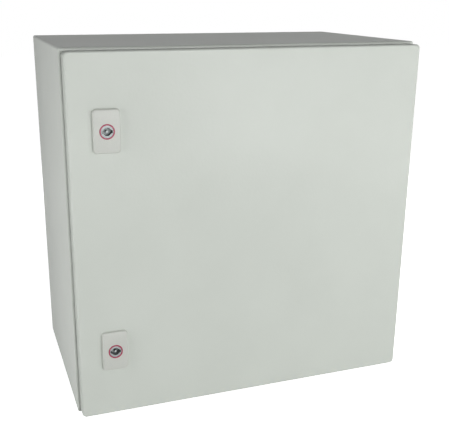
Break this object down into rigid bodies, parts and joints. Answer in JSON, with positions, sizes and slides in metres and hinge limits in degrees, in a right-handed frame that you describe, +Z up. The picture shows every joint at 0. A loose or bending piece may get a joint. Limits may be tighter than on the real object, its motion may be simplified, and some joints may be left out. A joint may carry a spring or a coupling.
{
  "type": "steel wall enclosure",
  "caption": "Square sheet-steel wall enclosure with a hinged sealed door, cam locks for a double-bit key, an inner mounting plate, a gland plate in the base and fixing holes in the back.",
  "frame": {"origin": "on the underside, in the middle of the overall width and depth", "axes": "+X to the right seen from the front (the hinge side), +Y from the door to the rear wall, +Z up"},
  "size_m": [0.5, 0.306, 0.5],
  "materials": {
    "powder_coat": "light grey textured powder coat",
    "galvanised": "galvanised sheet with a faint spangle",
    "zinc_plated": "bright zinc plating",
    "bright_steel": "copper-flashed bright steel",
    "die_cast": "tumbled zinc die-casting",
    "grey_plastic": "fine-grained moulded plastic",
    "red_plastic": "smooth moulded plastic",
    "foam": "closed-cell foam with a skin"
  },
  "bodies": {
    "body": {"body_wrap": "powder_coat", "front_rim": "powder_coat", "rear_panel": "powder_coat", "plate_studs": "bright_steel", "mounting_plate": "galvanised", "plate_washers": "zinc_plated", "plate_nuts": "zinc_plated", "gland_seal": "foam", "gland_plate": "powder_coat", "gland_studs": "bright_steel", "gland_nuts": "zinc_plated", "body_earth_stud": "bright_steel", "body_earth_nut": "zinc_plated", "upper_hinge_body_leaf": "zinc_plated", "lower_hinge_body_leaf": "zinc_plated", "hinge_pins": "bright_steel", "hinge_screws": "zinc_plated"},
    "door": {"door_panel": "powder_coat", "door_seal": "foam", "hinge_side_strip": "zinc_plated", "lock_side_strip": "zinc_plated", "upper_hinge_door_leaf": "zinc_plated", "lower_hinge_door_leaf": "zinc_plated", "door_earth_stud": "bright_steel", "door_earth_nut": "zinc_plated", "upper_escutcheon": "grey_plastic", "upper_signal_ring": "red_plastic", "upper_lock_housing": "die_cast", "upper_lock_gasket": "foam", "upper_lock_nut": "zinc_plated", "lower_escutcheon": "grey_plastic", "lower_signal_ring": "red_plastic", "lower_lock_housing": "die_cast", "lower_lock_gasket": "foam", "lower_lock_nut": "zinc_plated"},
    "upper_lock": {"upper_lock_insert": "die_cast", "upper_cam": "zinc_plated", "upper_cam_washer": "zinc_plated", "upper_cam_screw": "zinc_plated"},
    "lower_lock": {"lower_lock_insert": "die_cast", "lower_cam": "zinc_plated", "lower_cam_washer": "zinc_plated", "lower_cam_screw": "zinc_plated"}
  },
  "joints": [
    {"name": "door_hinge", "type": "hinge", "parent": "body", "child": "door", "pos_m": [0.243, -0.137, 0.25], "axis": [0, 0, 1], "range_deg": [0, 130]},
    {"name": "upper_lock_turn", "type": "hinge", "parent": "door", "child": "upper_lock", "pos_m": [-0.199, -0.147, 0.4], "axis": [0, 1, 0], "range_deg": [0, 90]},
    {"name": "lower_lock_turn", "type": "hinge", "parent": "door", "child": "lower_lock", "pos_m": [-0.199, -0.147, 0.1], "axis": [0, 1, 0], "range_deg": [0, 90]}
  ]
}
